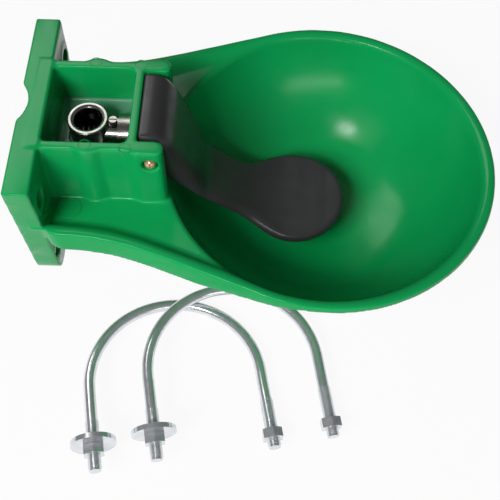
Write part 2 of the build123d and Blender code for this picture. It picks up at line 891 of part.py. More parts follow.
def make_flow_screw():
    """Slotted screw on the barrel that throttles the flow."""
    with BuildPart() as screw:
        with Locations((flow_screw_x, 0, flow_screw_tip)):
            Cylinder(flow_screw_radius, flow_screw_seat - flow_screw_tip, align=upright)
        with Locations((flow_screw_x, 0, flow_screw_seat)):
            Cylinder(flow_screw_head_radius, flow_screw_head_height, align=upright)
        with Locations((flow_screw_x, 0, flow_screw_seat + flow_screw_head_height)):
            Box(
                2 * flow_screw_head_radius,
                flow_screw_slot,
                flow_screw_head_height,
                mode=Mode.SUBTRACT,
            )
    return screw.part


def make_flow_ring():
    """Sealing ring under the flow screw's head."""
    with BuildPart() as washer:
        with Locations((flow_screw_x, 0, flow_boss_top)):
            Cylinder(flow_screw_head_radius, flow_ring_thickness, align=upright)
            Cylinder(
                flow_screw_radius + flow_screw_clearance,
                flow_ring_thickness,
                align=upright,
                mode=Mode.SUBTRACT,
            )
    return washer.part


def u_bolt_plane(place, lift):
    """Plane of a U-bolt that lies on the ground, x to its right leg, y to its arch.

    It rests on the rim of its washers, on the nut of its right leg and on its arch.
    """
    left_run = u_bolt_left_nut_from_end + u_bolt_nut_height + u_bolt_washer_thickness
    right_run = u_bolt_right_nut_from_end + u_bolt_nut_height / 2
    arch_run = u_bolt_leg + u_bolt_spacing / 2
    left_height = u_bolt_washer_radius
    right_height = u_bolt_nut_flats / 2
    arch_height_here = u_bolt_rod_radius + lift
    rise = (arch_height_here - (left_height + right_height) / 2) / (
        arch_run - (left_run + right_run) / 2
    )
    roll = (right_height - left_height - rise * (right_run - left_run)) / u_bolt_spacing
    start = arch_height_here - rise * arch_run
    turn = radians(u_bolt_turn)
    across = Vector(cos(turn), sin(turn), roll)
    along = Vector(-sin(turn), cos(turn), rise)
    origin = Vector(place[0], place[1], ground_z + start + u_bolt_ground_gap)
    return Plane(origin=origin, x_dir=across, z_dir=across.cross(along))


def make_u_bolt(plane):
    """Round rod bent to a U."""
    half = u_bolt_spacing / 2
    with BuildPart() as bolt:
        with BuildLine(plane) as path:
            Line((-half, 0), (-half, u_bolt_leg))
            ThreePointArc((-half, u_bolt_leg), (0, u_bolt_leg + half), (half, u_bolt_leg))
            Line((half, u_bolt_leg), (half, 0))
        with BuildSketch(Plane(origin=path.line @ 0, z_dir=path.line % 0)):
            Circle(u_bolt_rod_radius)
        sweep(path=path.line)
    return bolt.part


def leg_plane(plane, side, run):
    """Plane across a leg, run mm from its end, facing the arch."""
    origin = plane.from_local_coords((side * u_bolt_spacing / 2, run, 0))
    return Plane(origin=origin, x_dir=plane.z_dir, z_dir=plane.y_dir)


def make_u_bolt_nuts(plane):
    """One nut on each leg."""
    runs = {-1: u_bolt_left_nut_from_end, 1: u_bolt_right_nut_from_end}
    bore = u_bolt_rod_radius + u_bolt_nut_bore_clearance
    both = [
        hex_nut(leg_plane(plane, side, run), u_bolt_nut_flats, u_bolt_nut_height, bore)
        for side, run in runs.items()
    ]
    with BuildPart() as nuts:
        add(both)
    return nuts.part


def make_u_bolt_washers(plane):
    """Two large washers on the left leg, on top of its nut."""
    first = u_bolt_left_nut_from_end + u_bolt_nut_height + u_bolt_washer_gap
    with BuildPart() as washers:
        for count in range(2):
            run = first + count * (u_bolt_washer_thickness + u_bolt_washer_gap)
            with BuildSketch(leg_plane(plane, -1, run)):
                Circle(u_bolt_washer_radius)
                Circle(u_bolt_washer_bore, mode=Mode.SUBTRACT)
            extrude(amount=u_bolt_washer_thickness)
    return washers.part


save(make_bowl_body(), "bowl_body")
save(make_paddle(), "drinking_paddle")
save(make_pivot_screw(), "pivot_screw")
save(make_pivot_nut(), "pivot_nut")
save(make_valve_body(), "valve_body")
save(ring(collar_end, gasket_thickness, gasket_radius, nose_radius + gasket_clearance), "valve_gasket")
save(make_lock_nut(), "valve_lock_nut")
save(make_seat(), "valve_seat")
save(make_seat_ring(), "seat_ring")
save(make_stem(), "valve_stem")
save(
    ring(seal_face - seal_thickness, seal_thickness, seal_radius, stem_radius), "stem_seal"
)
save(ring(retainer_start, retainer_thickness, retainer_radius, stem_radius), "seal_retainer")
save(make_spring(), "valve_spring")
save(make_flow_screw(), "flow_screw")
save(make_flow_ring(), "flow_screw_ring")
for label, place, lift in (
    ("left", left_u_bolt_place, 0),
    ("right", right_u_bolt_place, u_bolt_overlap_lift),
):
    plane = u_bolt_plane(place, lift)
    save(make_u_bolt(plane), f"{label}_u_bolt")
    save(make_u_bolt_nuts(plane), f"{label}_u_bolt_nuts")
    save(make_u_bolt_washers(plane), f"{label}_u_bolt_washers")
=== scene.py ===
"""Looks of the livestock drinking bowl: moulded forms, finishes, threads, floor, light and camera.

Moulded forms are fields: roughly the distance to a surface in millimetres, negative inside.
Blender's objects are in metres.
"""

import json
from math import asin, atan2, cos, hypot, pi, radians, sin, sqrt

import bpy
import numpy as np
from mathutils import Matrix, Vector


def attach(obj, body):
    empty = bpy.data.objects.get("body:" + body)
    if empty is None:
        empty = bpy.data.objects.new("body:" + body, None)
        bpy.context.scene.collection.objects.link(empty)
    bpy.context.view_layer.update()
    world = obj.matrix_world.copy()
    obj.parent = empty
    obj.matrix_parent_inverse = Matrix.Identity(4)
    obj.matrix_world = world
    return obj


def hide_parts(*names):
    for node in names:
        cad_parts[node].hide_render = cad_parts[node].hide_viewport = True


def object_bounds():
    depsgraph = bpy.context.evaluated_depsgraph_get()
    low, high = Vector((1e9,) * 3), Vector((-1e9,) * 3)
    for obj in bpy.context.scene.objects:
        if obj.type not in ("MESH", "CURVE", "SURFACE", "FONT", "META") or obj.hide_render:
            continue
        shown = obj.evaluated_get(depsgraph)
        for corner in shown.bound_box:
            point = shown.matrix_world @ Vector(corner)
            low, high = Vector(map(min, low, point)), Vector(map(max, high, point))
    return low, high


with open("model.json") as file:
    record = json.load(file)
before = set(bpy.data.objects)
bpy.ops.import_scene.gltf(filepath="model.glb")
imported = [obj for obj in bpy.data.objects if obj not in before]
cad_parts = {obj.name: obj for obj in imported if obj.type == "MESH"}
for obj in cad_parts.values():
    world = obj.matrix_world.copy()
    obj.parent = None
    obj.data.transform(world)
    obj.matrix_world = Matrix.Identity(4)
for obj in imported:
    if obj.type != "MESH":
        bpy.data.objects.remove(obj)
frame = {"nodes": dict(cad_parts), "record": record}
cad_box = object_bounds()
nodes = frame["nodes"]
MM = 0.001

# Camera: place and directions in the part's frame
camera_place = Vector((0.160, -0.35918, 0.50363))
camera_yaw = radians(-1.76)
camera_pitch = radians(60.43)
camera_roll = radians(0.26)
camera_focus_px = 885.99
picture_px = 500
sensor_width = 36.0

# Flange, in millimetres
flange_depth = 17.0
flange_top = 144.0
flange_bottom = 128.0
flange_half_height = 55.0
flange_edge = 1.5
flange_back_edge = 0.6
bevel_slope = 1.1
bevel_cut = 4.0
bevel_length = 1.49
bevel_blend = 6.0
hole_y = 58.0
hole_z = 31.0
hole_radius = 6.25
hole_end = 20.0
boss_radius = 12.2
boss_height = 0.6
boss_start = 10.0
boss_inset = 1.5
pipe_radius = 24.15
pipe_depth = 5.3
sleeve_wall = 4.0
back_wall = 4.0
back_depth = 13.0
back_rib_half = 1.5
cell_width = 27.0
cell_height = 31.0

# Rim and tray, slimmer and shallower than in the solids
bowl_x = 201.0
rim_radius = 116.8
rim_z = 4.7
rim_slope = radians(2.3)
rim_flare = 0.2
rim_thickness = 4.0
rim_into_flange = 0.8
rim_edge = 1.6
back_corner_run = 52.0
back_corner_blend = 4.0
diagonal = 1.414
skirt_edge = 1.0
skirt_span = (118.0, 188.0)
skirt_heights = (14.5, 5.0)
land = 6.0
tray_half = 72.8
waist_x = 60.0
waist_bend = 12.0
tray_lean = 0.85
tray_corner = 3.0
tray_span = (18.0, 190.0)
tray_depths = (9.5, 2.2)
tray_edge = 2.6
wall = 3.0

# Basin, its foot ring and the gussets below the tray
basin_rim_radius = 110.2
basin_side_radius = 112.8
basin_floor = -75.3
basin_shoulder = 14.0
basin_edge = 3.2
foot_radius = 30.0
foot_z = -77.3
foot_half = 2.0
gusset_y = 34.0
gusset_half = 2.0
gusset_z = -19.0
gusset_half_height = 17.2
gusset_front = 100.0

# Valve box, its compartment and its openings
box_back = 18.0
box_half = 36.0
box_wall = 5.9
box_bottom = -2.2
box_draft = 0.035
box_edge = 1.8
box_bottom_edge = 0.5
box_join = 2.2
cross_back = 72.4
cross_front = 78.4
cheek_back = 70.0
cheek_back_half = 35.0
cheek_front = 95.4
cheek_half = 38.5
cheek_corner = 6.0
cheek_join = 2.0
slot_half = 28.2
pilaster_x = 47.0
pilaster_y = 25.5
pilaster_radius = 13.2
pilaster_join = 1.5
shelf_z = 23.0
compartment_draft = 0.04
compartment_corner = 4.0
compartment_front_corner = 6.0
compartment_floor_corner = 2.0
compartment_edge = 1.5
core_z = -11.0
core_half_height = 30.0
socket_x = 41.7
opening_half = 14.5
opening_z = 21.0
opening_half_height = 6.0
arch_radius = 23.5
arch_offset = 1.2
arch_half_thickness = 0.9
arch_sunk = 1.0
valve_z = 24.0
nose_radius = 9.8
nose_x = 75.4
nose_half_length = 4.5
pivot_x = 86.5
pivot_z = 42.0
pivot_hole = 2.1
recess_radius = 5.3
recess_y = 34.2
nut_pocket_radius = 4.0
cut_edge = 0.7

# Paddle
paddle_back = 78.9
paddle_back_edge = 1.2
paddle_shell = 3.0
paddle_shell_blend = 4.0
neck_span = (98.0, 140.0)
neck_halves = (26.6, 24.3)
neck_blend = 14.0
disc_x = 181.1
disc_radius = 37.0
round_span = (82.0, 92.0, 104.0, 150.0, 175.0)
round_sizes = (3.0, 5.0, 10.0, 10.0, 3.5)
outline_steps = 6
web_half = 2.0
web_inset = 1.0
paddle_boss_radius = 4.6
paddle_boss_y = 24.4
paddle_boss_half = 3.5
paddle_hole = 2.05

# Pivot screw
head_radius = 3.85
head_base_y = -34.4
head_round_y = -36.0
head_edge = 0.4
cross_half = 0.45
cross_reach = 2.4
cross_floor_y = -38.2
cross_edge = 0.3
shank_radius = 1.95
shank_middle_y = 2.0
shank_half_length = 37.0

# U-bolts as they lie in the solids, and their threads
solid_ground = -79.3
u_bolt_gap = 0.3
u_bolt_turn = radians(11.0)
spacing = 118.0
leg = 58.0
rod_radius = 4.0
washer_radius = 15.0
nut_half_flats = 6.5
washer_run = 19.1
right_nut_run = 9.25
left_u_bolt_place = (114.0, -194.0)
right_u_bolt_place = (153.0, -185.0)
overlap_lift = 9.5
thread_pitch = 1.25
thread_length = 36.0
thread_sides = 18
thread_start = 0.5
thread_root = 3.9
thread_half_base = 0.4
thread_rise = 0.45

# Round marks on the moulding
mark_sides = 48
mark_line_sides = 6
ejector_places = ((46, -33), (45.5, 34.4), (75.4, 33.4), (71.6, -35.0))
ejector_radius = 3.8
ejector_line = 0.25
ejector_sunk = 0.05
ledge_mark_place = (29.4, -46.6, 2.6)
ledge_mark_radius = 8.0
ledge_mark_line = 0.4

# Where colour is painted, in metres: a paler, greyer painted reflection on the valve box's shelf, and
# painted shade in the inlet's bore
shelf_middle_x = 0.045
shelf_level = 0.0235
shelf_reflection_scale = (0.02, 0.02, 1.0)
shelf_reflection_level_fade = (0.0012, 0.0018)
shelf_reflection_across_fade = (0.0300, 0.0315)
shelf_reflection_along_fade = (0.0285, 0.0300)
bore_x = 0.0417
bore_shade_fade = (0.0092, 0.0096)

# Floor, in metres
ground_z = cad_box[0].z
floor_gap = 0.0004
floor_size = 6.0
floor_white_share = 0.93


def make_camera():
    """The camera of the photograph."""
    ahead = Vector(
        (
            sin(camera_yaw) * cos(camera_pitch),
            cos(camera_yaw) * cos(camera_pitch),
            -sin(camera_pitch),
        )
    )
    level = Vector((cos(camera_yaw), -sin(camera_yaw), 0))
    lifted = level.cross(ahead)
    right = level * cos(camera_roll) + lifted * sin(camera_roll)
    up = lifted * cos(camera_roll) - level * sin(camera_roll)
    data = bpy.data.cameras.new("camera")
    data.sensor_width = sensor_width
    data.lens = sensor_width * camera_focus_px / picture_px
    camera = bpy.data.objects.new("camera", data)
    bpy.context.scene.collection.objects.link(camera)
    turn = Matrix((right, up, -ahead)).transposed().to_4x4()
    camera.matrix_world = Matrix.Translation(camera_place) @ turn
    bpy.context.scene.camera = camera


def soft_max(a, b, k):
    """The larger of two fields, blended over k."""
    mix = np.clip(0.5 + 0.5 * (a - b) / k, 0, 1)
    return b * (1 - mix) + a * mix + k * mix * (1 - mix)


def soft_min(a, b, k):
    """The smaller of two fields, blended over k."""
    return -soft_max(-a, -b, k)


def polygon(points, u, v):
    """Distance to a closed outline, negative inside."""
    nearest = np.full(np.broadcast(u, v).shape, 1e9)
    inside = np.zeros(nearest.shape, bool)
    for (ax, ay), (bx, by) in zip(points, points[1:] + points[:1]):
        ex, ey = bx - ax, by - ay
        along = np.clip(((u - ax) * ex + (v - ay) * ey) / (ex * ex + ey * ey), 0, 1)
        nearest = np.minimum(nearest, np.hypot(u - ax - along * ex, v - ay - along * ey))
        if ay != by:
            crossing = (v < ay) != (v < by)
            inside ^= crossing & (u < ax + (v - ay) / (by - ay) * ex)
    return np.where(inside, -nearest, nearest)


def smooth_outline(points, steps=outline_steps):
    """A closed outline that runs through its points as a smooth curve."""
    count = len(points)
    curve = []
    for i in range(count):
        a, b, c, d = (np.array(points[(i + j) % count], float) for j in (-1, 0, 1, 2))
        slope = c - a
        bend = 2 * a - 5 * b + 4 * c - d
        twist = 3 * b - a - 3 * c + d
        for step in range(steps):
            t = step / steps
            place = 0.5 * (2 * b + slope * t + bend * t**2 + twist * t**3)
            curve.append(tuple(place))
    return curve


def make_grid(low, high, step):
    """Open grids of x, y and z over a box."""
    axes = [np.arange(a, b + step, step, dtype=np.float32) for a, b in zip(low, high)]
    return np.meshgrid(*axes, indexing="ij", sparse=True)


def surface_points(field, cells):
    """One point in each cell that the surface crosses, in cells from the grid's corner."""
    corners = [(i, j, k) for i in (0, 1) for j in (0, 1) for k in (0, 1)]
    values = {c: field[cells[0] + c[0], cells[1] + c[1], cells[2] + c[2]] for c in corners}
    total = np.zeros((len(cells[0]), 3))
    hits = np.zeros(len(cells[0]))
    for c in corners:
        for axis in range(3):
            if c[axis]:
                continue
            other = tuple(1 if i == axis else v for i, v in enumerate(c))
            a, b = values[c], values[other]
            crossed = (a < 0) != (b < 0)
            share = np.where(crossed, a / np.where(crossed, a - b, 1), 0)
            spot = np.tile(np.array(c, float), (len(a), 1))
            spot[:, axis] += share
            total += spot * crossed[:, None]
            hits += crossed
    return np.stack(cells, 1) + total / hits[:, None]


def surface_faces(inside, number):
    """Four-sided faces round each grid edge that the surface crosses."""
    faces = []
    for axis in range(3):
        one, two = [i for i in range(3) if i != axis]
        near = [slice(1, -1)] * 3
        far = [slice(1, -1)] * 3
        near[axis] = slice(0, -1)
        far[axis] = slice(1, None)
        first = inside[tuple(near)]
        second = inside[tuple(far)]
        for start, flip in ((first & ~second, axis == 1), (second & ~first, axis != 1)):
            place = list(np.nonzero(start))
            place[one] = place[one] + 1
            place[two] = place[two] + 1
            ring = []
            for da, db in ((0, 0), (1, 0), (1, 1), (0, 1)):
                spot = list(place)
                spot[one] = spot[one] - da
                spot[two] = spot[two] - db
                ring.append(number[tuple(spot)])
            faces.append(np.stack(ring[::-1] if flip else ring, 1))
    return np.concatenate(faces)


def surface_of(field, low, step):
    """Points and four-sided faces of the surface where a field is zero."""
    inside = field < 0
    size = np.array(field.shape) - 1
    count = np.zeros(size, np.uint8)
    for corner in ((i, j, k) for i in (0, 1) for j in (0, 1) for k in (0, 1)):
        count += inside[tuple(slice(o, o + n) for o, n in zip(corner, size))]
    cells = np.nonzero((count > 0) & (count < 8))
    points = surface_points(field, cells) * step + np.array(low)
    number = np.full(size, -1, np.int32)
    number[cells] = np.arange(len(points))
    return points, surface_faces(inside, number)


def apply_modifiers(piece):
    """Bakes a piece's modifiers into its mesh."""
    graph = bpy.context.evaluated_depsgraph_get()
    mesh = bpy.data.meshes.new_from_object(piece.evaluated_get(graph))
    piece.modifiers.clear()
    piece.data = mesh


def mesh_of(name, field, low, step, most):
    """A smooth-shaded object from a field, thinned to a number of triangles."""
    points, faces = surface_of(field, low, step)
    mesh = bpy.data.meshes.new(name)
    mesh.vertices.add(len(points))
    mesh.vertices.foreach_set("co", (points * MM).astype(np.float32).ravel())
    mesh.loops.add(faces.size)
    mesh.loops.foreach_set("vertex_index", faces.ravel().astype(np.int32))
    mesh.polygons.add(len(faces))
    mesh.polygons.foreach_set("loop_start", np.arange(0, faces.size, 4, dtype=np.int32))
    mesh.update(calc_edges=True)
    mesh.validate()
    piece = bpy.data.objects.new(name, mesh)
    bpy.context.scene.collection.objects.link(piece)
    thin = piece.modifiers.new("thin", "DECIMATE")
    thin.ratio = min(1.0, most / (2 * len(faces)))
    apply_modifiers(piece)
    piece.data.shade_smooth()
    return piece


def pear(x, y, radius, half):
    """Distance to the bowl's outline from above: a circle and two slanted sides."""
    reach = hypot(waist_x - bowl_x, half)
    rise = asin(radius / reach) - atan2(half, bowl_x - waist_x)
    touch_x = bowl_x - radius * sin(rise)
    spread = np.logaddexp(0, (x - waist_x) / waist_bend) * waist_bend * np.tan(rise)
    side = (np.abs(y) - half - spread) * cos(rise)
    side = np.maximum(side, x - touch_x)
    return np.minimum(np.hypot(x - bowl_x, y) - radius, side)


def basin_fields(x, y, z, level):
    """The basin's hollow, and its shell with the foot ring."""
    from_axis = np.hypot(x - bowl_x, y)
    centre_z = rim_z + sqrt(basin_side_radius**2 - basin_rim_radius**2)
    ball = np.sqrt(from_axis**2 + (z - centre_z) ** 2) - basin_side_radius
    basin = soft_max(ball, basin_floor - z, basin_shoulder)
    shell = soft_max(ball - wall, basin_floor - wall - z, basin_shoulder)
    shell = np.maximum(shell, level)
    foot = np.maximum(np.abs(from_axis - foot_radius) - foot_half, np.abs(z - foot_z) - foot_half)
    return basin, np.minimum(shell, foot)


def rim_field(x, beyond, level, outline):
    """Rim with a flared skirt, deep beside the tray and shallow round the front."""
    skirt = np.interp(x, skirt_span, skirt_heights).astype(np.float32)
    edge = (outline + rim_flare * level) / hypot(1, rim_flare)
    corner = (beyond - x - back_corner_run) / diagonal
    edge = soft_max(edge, corner, back_corner_blend)
    block = soft_max(soft_max(edge, level, rim_edge), -level - skirt, skirt_edge)
    block = np.maximum(block, flange_depth - rim_into_flange - x)
    return np.maximum(block, -np.maximum(edge + wall, level + rim_thickness))


def tray_fields(x, level, outline):
    """The tray's hollow, with sloping sides and a floor that rises to the front, and its shell."""
    depth = np.interp(x, tray_span, tray_depths).astype(np.float32)
    side = (outline + land - tray_lean * level) / hypot(1, tray_lean)
    tray = soft_max(side, -level - depth, tray_corner)
    shell = np.maximum(tray - wall, np.maximum(level, outline))
    return tray, np.maximum(shell, flange_depth / 2 - x)


def gusset_field(x, beyond, z):
    """Two upright ribs below the tray."""
    gusset = np.maximum(np.abs(beyond - gusset_y) - gusset_half, np.abs(z - gusset_z) - gusset_half_height)
    return np.maximum(gusset, np.maximum(flange_depth / 2 - x, x - gusset_front))


def plate_outline(y, z, beyond):
    """The flange seen from the front, with its lower corners cut."""
    top, bottom, tall = flange_top / 2, flange_bottom / 2, flange_half_height
    plate = polygon([(-top, tall), (top, tall), (bottom, -tall), (-bottom, -tall)], y, z)
    bevel = (beyond - z * bevel_slope - bottom - tall * bevel_slope + bevel_cut) / bevel_length
    return soft_max(plate, bevel, bevel_blend)


def flange_field(x, plate, hole_axis):
    """The flange with a low round boss at each hole."""
    flange = soft_max(soft_max(plate, x - flange_depth, flange_edge), -x, flange_back_edge)
    boss = soft_max(hole_axis - boss_radius, x - flange_depth - boss_height, boss_height)
    boss = np.maximum(boss, np.maximum(boss_start - x, plate + boss_inset))
    return np.minimum(flange, boss)


def box_field(x, beyond, z):
    """Valve box with pilasters and cheeks, its sides spread a little downwards."""
    draft = box_draft * (flange_half_height - z)
    drafted = beyond - np.maximum(draft, 0)
    walls = np.maximum(drafted - box_half, np.maximum(x - cross_front, flange_depth / 2 - x))
    pilaster = np.hypot(x - pilaster_x, drafted - pilaster_y) - pilaster_radius
    cheek = np.maximum(drafted - cheek_half, slot_half - beyond)
    cheek = soft_max(cheek, x - cheek_front, cheek_corner)
    far = 200.0
    trim = [
        (waist_x, -10.0),
        (far, -10.0),
        (far, far),
        (cross_front, far),
        (cross_front, cheek_half),
        (cheek_back, cheek_back_half),
    ]
    cheek = np.maximum(cheek, polygon(trim, x, drafted))
    sides = soft_min(soft_min(walls, pilaster, pilaster_join), cheek, cheek_join)
    box = soft_max(sides, z - flange_half_height, box_edge)
    return soft_max(box, box_bottom - z, box_bottom_edge)


def cut_compartment(solid, x, y, beyond, z):
    """Takes the compartment, the core below the shelf and the valve's opening out of the box."""
    inner = box_half - box_wall
    inside = soft_max(beyond - inner, box_back - x, compartment_corner)
    inside = soft_max(inside, x - cross_back, compartment_front_corner)
    drafted = inside + compartment_draft * (flange_half_height - z)
    above = soft_max(drafted, shelf_z - z, compartment_floor_corner)
    solid = soft_max(solid, -above, compartment_edge)
    core = np.maximum(inside, np.abs(z - core_z) - core_half_height)
    channel = np.maximum(np.maximum(beyond - opening_half, socket_x - x), x - cross_back)
    opening = np.minimum(np.hypot(x - socket_x, y) - opening_half, channel)
    opening = np.maximum(opening, np.abs(z - opening_z) - opening_half_height)
    return np.maximum(solid, -np.minimum(core, opening))


def arch_field(x, y, z):
    """Half-round pad on the compartment's back wall."""
    thickness = np.abs(x - box_back - arch_offset) - arch_half_thickness
    arch = np.maximum(np.hypot(y, z - shelf_z) - arch_radius, thickness)
    return np.maximum(arch, shelf_z - arch_sunk - z)


def cuts_field(x, y, z, plate, hole_axis):
    """Holes, recesses, the flange's hollow back and its groove for a pipe."""
    nose = np.maximum(np.hypot(y, z - valve_z) - nose_radius, np.abs(x - nose_x) - nose_half_length)
    across = np.hypot(x - pivot_x, z - pivot_z)
    recess = np.maximum(across - recess_radius, y + recess_y)
    pocket = np.maximum(across - nut_pocket_radius, recess_y - y)
    cuts = np.minimum(np.minimum(nose, across - pivot_hole), np.minimum(recess, pocket))
    cuts = np.minimum(cuts, np.maximum(hole_axis - hole_radius, x - hole_end))
    cell_y = np.abs((y + cell_width / 2) % cell_width - cell_width / 2)
    cell_z = np.abs((z + cell_height / 2) % cell_height - cell_height / 2)
    ribs = np.maximum(back_rib_half - cell_y, back_rib_half - cell_z)
    back = np.maximum(np.maximum(plate + back_wall, x - back_depth), ribs)
    back = np.maximum(back, hole_radius + sleeve_wall - hole_axis)
    groove = np.hypot(x - pipe_depth + pipe_radius, y) - pipe_radius
    return np.minimum(np.minimum(cuts, back), groove)


def bowl_field(x, y, z):
    """The green moulding."""
    beyond = np.abs(y)
    level = (z - rim_z) * cos(rim_slope) + (x - bowl_x) * sin(rim_slope)
    outline = pear(x, y, rim_radius, tray_half)
    basin, basin_shell = basin_fields(x, y, z, level)
    tray, tray_shell = tray_fields(x, level, outline)
    solid = np.minimum(rim_field(x, beyond, level, outline), tray_shell)
    solid = np.minimum(solid, basin_shell)
    solid = np.minimum(solid, gusset_field(x, beyond, z))
    solid = soft_max(solid, soft_max(-tray, -basin, basin_edge), tray_edge)
    plate = plate_outline(y, z, beyond)
    hole_axis = np.hypot(beyond - hole_y, np.abs(z) - hole_z)
    solid = soft_min(solid, flange_field(x, plate, hole_axis), flange_edge)
    solid = soft_min(solid, box_field(x, beyond, z), box_join)
    solid = cut_compartment(solid, x, y, beyond, z)
    solid = np.minimum(solid, arch_field(x, y, z))
    return soft_max(solid, -cuts_field(x, y, z, plate, hole_axis), cut_edge)


def paddle_field(x, y, z):
    """The black paddle: a swan neck and a round disc, hollow from below."""
    top = [
        (70.0, 55.4),
        (79.0, 55.6),
        (86.5, 55.4),
        (92.3, 53.4),
        (97.4, 48.4),
        (102.0, 40.0),
        (110.6, 15.5),
        (118.6, -9.0),
        (127.8, -19.6),
        (141.0, -30.6),
        (155.0, -39.0),
        (170.0, -43.6),
        (186.0, -44.8),
        (203.0, -45.0),
        (219.0, -45.4),
    ]
    low = [
        (219.0, -53.0),
        (203.0, -53.0),
        (180.0, -53.0),
        (162.0, -52.0),
        (146.0, -45.5),
        (131.0, -33.5),
        (116.0, -19.5),
        (104.0, -6.0),
        (96.0, 5.0),
        (87.0, 20.0),
        (81.5, 33.0),
        (76.0, 40.5),
        (70.0, 44.0),
    ]
    web_outline = [(87.5, 30.0), (87.5, 18.0), (118.0, 4.0), (105.5, 36.0)]
    open_below = [(219.0, -90.0), (60.0, -90.0), (60.0, 55.4)]
    side = polygon(smooth_outline(top + low), x, z)
    side = soft_max(side, paddle_back - x, paddle_back_edge)
    half = np.interp(x, neck_span, neck_halves).astype(np.float32)
    disc = np.hypot(x - disc_x, y) - disc_radius
    arm = np.maximum(np.abs(y) - half, x - disc_x)
    plan = soft_min(arm, disc, neck_blend)
    rounding = np.interp(x, round_span, round_sizes).astype(np.float32)
    outside = soft_max(side, plan, rounding)
    roof_outline = smooth_outline(top)[outline_steps:-outline_steps] + open_below
    roof = polygon(roof_outline, x, z)
    hollow = soft_max(roof + paddle_shell, plan + paddle_shell, paddle_shell_blend)
    web = np.maximum(np.abs(y) - web_half, polygon(web_outline, x, z))
    web = np.maximum(web, side + web_inset)
    from_pivot = np.hypot(x - pivot_x, z - pivot_z)
    boss = np.abs(np.abs(y) - paddle_boss_y) - paddle_boss_half
    boss = np.maximum(from_pivot - paddle_boss_radius, boss)
    solid = np.minimum(np.maximum(outside, -hollow), np.minimum(web, boss))
    return np.maximum(solid, paddle_hole - from_pivot)


def screw_field(x, y, z):
    """The pivot screw: domed head with a cross recess, and its shank."""
    across = np.hypot(x - pivot_x, z - pivot_z)
    dome = np.sqrt(across**2 + np.minimum(y - head_round_y, 0) ** 2) - head_radius
    dome = soft_max(dome, y - head_base_y, head_edge)
    arms = np.minimum(np.abs(x - pivot_x), np.abs(z - pivot_z)) - cross_half
    recess = np.maximum(np.maximum(arms, across - cross_reach), y - cross_floor_y)
    shank = np.maximum(across - shank_radius, np.abs(y - shank_middle_y) - shank_half_length)
    return np.minimum(soft_max(dome, -recess, cross_edge), shank)


def form_of(name, field, low, high, step, most):
    return mesh_of(name, field(*make_grid(low, high, step)), low, step, most)


def make_forms():
    """Moulding, paddle and pivot screw as smooth pieces that stand for their nodes."""
    low = (-3.0, -122.0, -82.3)
    high = (323.0, 122.0, 58.0)
    bowl = form_of("bowl_moulding", bowl_field, low, high, 1.0, 90000)
    low = (76.0, -40.0, -56.0)
    high = (221.0, 40.0, 58.0)
    paddle = form_of("paddle_moulding", paddle_field, low, high, 0.75, 24000)
    low = (pivot_x - 5.0, -41.0, pivot_z - 5.0)
    high = (pivot_x + 5.0, 41.0, pivot_z + 5.0)
    screw = form_of("pivot_screw_form", screw_field, low, high, 0.25, 9000)
    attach(screw, "bowl")
    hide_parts("pivot_screw")
    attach(bowl, "bowl")
    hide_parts("bowl_body")
    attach(paddle, "paddle")
    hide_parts("drinking_paddle")
    return bowl, paddle, screw


def plain_mesh(name, points, faces, slot):
    """A smooth-shaded piece that rides the bowl, from points in millimetres."""
    mesh = bpy.data.meshes.new(name)
    mesh.from_pydata([tuple(c * MM for c in point) for point in points], [], faces)
    mesh.update()
    piece = bpy.data.objects.new(name, mesh)
    bpy.context.scene.collection.objects.link(piece)
    mesh.shade_smooth()
    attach(piece, "bowl")
    mesh.materials.append(materials[slot])
    return piece


def strip_faces(rings, width, closed):
    """Faces between rings of points, each ring joined to the next."""
    faces = []
    last = rings if closed else rings - 1
    for ring in range(last):
        here = ring * width
        there = (ring + 1) % rings * width
        for spot in range(width):
            beside = (spot + 1) % width
            faces.append((here + spot, here + beside, there + beside, there + spot))
    return faces


def ring_mark(name, centre, radius, thick):
    """A thin round line, such as an ejector leaves on a moulding."""
    points = []
    for i in range(mark_sides):
        a = 2 * pi * i / mark_sides
        for j in range(mark_line_sides):
            b = 2 * pi * j / mark_line_sides
            reach = radius + thick * cos(b)
            x = centre[0] + reach * cos(a)
            y = centre[1] + reach * sin(a)
            points.append((x, y, centre[2] + thick * sin(b)))
    return plain_mesh(name, points, strip_faces(mark_sides, mark_line_sides, True), "green_plastic")


def u_bolt_directions(place, lift):
    """Origin and directions of a U-bolt that lies on the ground, as in the solids."""
    arch_height = rod_radius + lift
    arch_run = leg + spacing / 2
    heights = (washer_radius + nut_half_flats) / 2
    rise = (arch_height - heights) / (arch_run - (washer_run + right_nut_run) / 2)
    roll = (nut_half_flats - washer_radius - rise * (right_nut_run - washer_run)) / spacing
    start = arch_height - rise * arch_run
    across = Vector((cos(u_bolt_turn), sin(u_bolt_turn), roll)).normalized()
    along = Vector((-sin(u_bolt_turn), cos(u_bolt_turn), rise))
    up = across.cross(along).normalized()
    along = up.cross(across)
    origin = Vector((place[0], place[1], solid_ground + start + u_bolt_gap))
    return origin, across, along, up


def make_thread(name, directions, side):
    """A thread ridge round one leg's end."""
    origin, across, along, up = directions
    turns = int(thread_length / thread_pitch)
    count = turns * thread_sides + 1
    points = []
    for i in range(count):
        a = 2 * pi * i / thread_sides
        run = thread_start + thread_pitch * i / thread_sides
        fade = min(1.0, i / thread_sides, (count - 1 - i) / thread_sides)
        crest = rod_radius + thread_rise * fade
        ridge = ((thread_root, -thread_half_base), (crest, 0.0), (thread_root, thread_half_base))
        for reach, shift in ridge:
            place = origin + across * (side * spacing / 2 + reach * cos(a))
            place = place + along * (run + shift) + up * (reach * sin(a))
            points.append(tuple(place))
    return plain_mesh(name, points, strip_faces(count, 3, False), "zinc")


